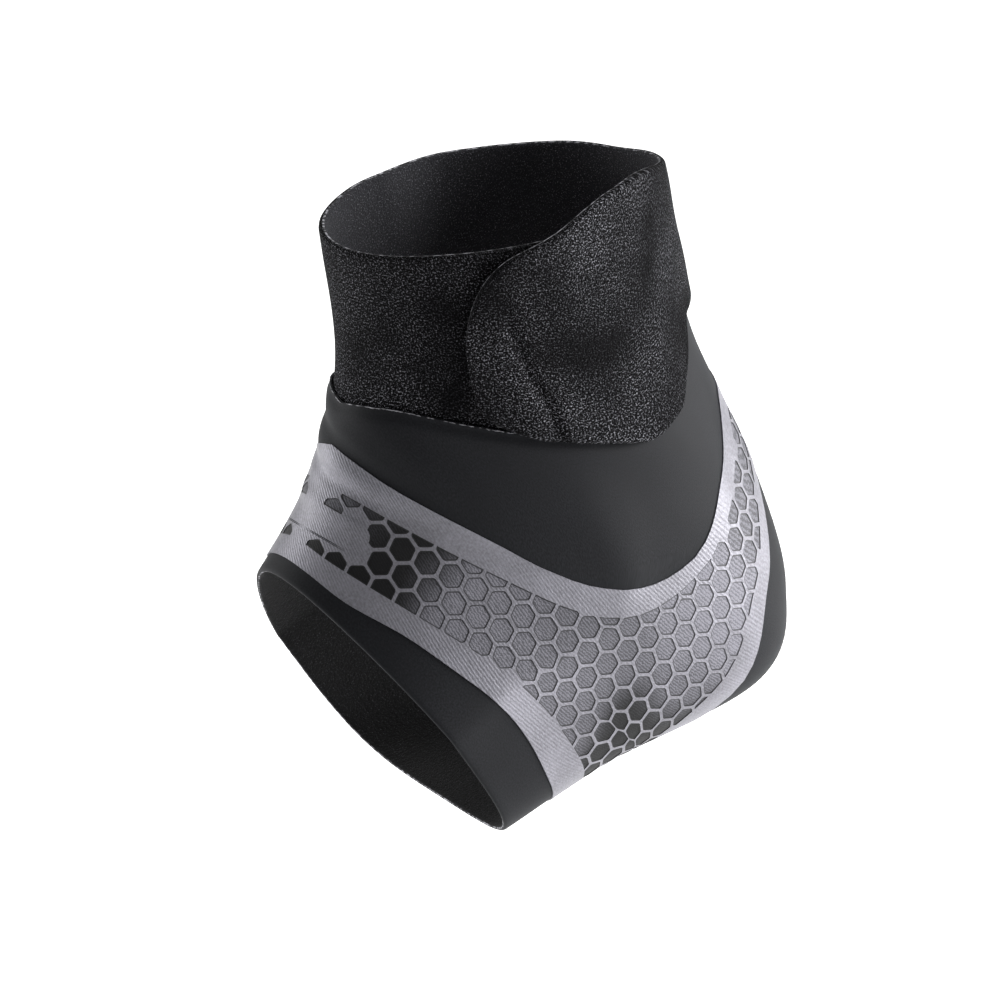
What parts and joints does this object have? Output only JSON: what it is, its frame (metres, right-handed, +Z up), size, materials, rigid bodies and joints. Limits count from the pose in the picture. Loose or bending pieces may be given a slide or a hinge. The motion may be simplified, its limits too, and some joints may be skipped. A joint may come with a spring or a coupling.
{
  "type": "ankle brace",
  "caption": "Stretch ankle brace, open at leg, toes and heel, with a printed honeycomb band and a wrap cuff that fastens with a rounded pile tongue.",
  "frame": {"origin": "middle of the ankle, where the brace sits on the leg", "axes": "+Z up along the leg, -Y toward the toes, +X toward the outer side, which has the fastening tongue"},
  "size_m": [0.0776, 0.1158, 0.1441],
  "materials": {
    "stretch_nylon": "smooth dark grey stretch nylon over a black loop lining",
    "silver_film": "satin silver film bonded to the cloth, with a shaded honeycomb field",
    "pile_cloth": "black unbroken loop pile",
    "hook_tape": "black moulded hook tape"
  },
  "bodies": {
    "root": {"sleeve": "stretch_nylon", "print_film": "silver_film", "wrap_cuff": "pile_cloth", "hook_patch": "hook_tape"}
  },
  "joints": []
}
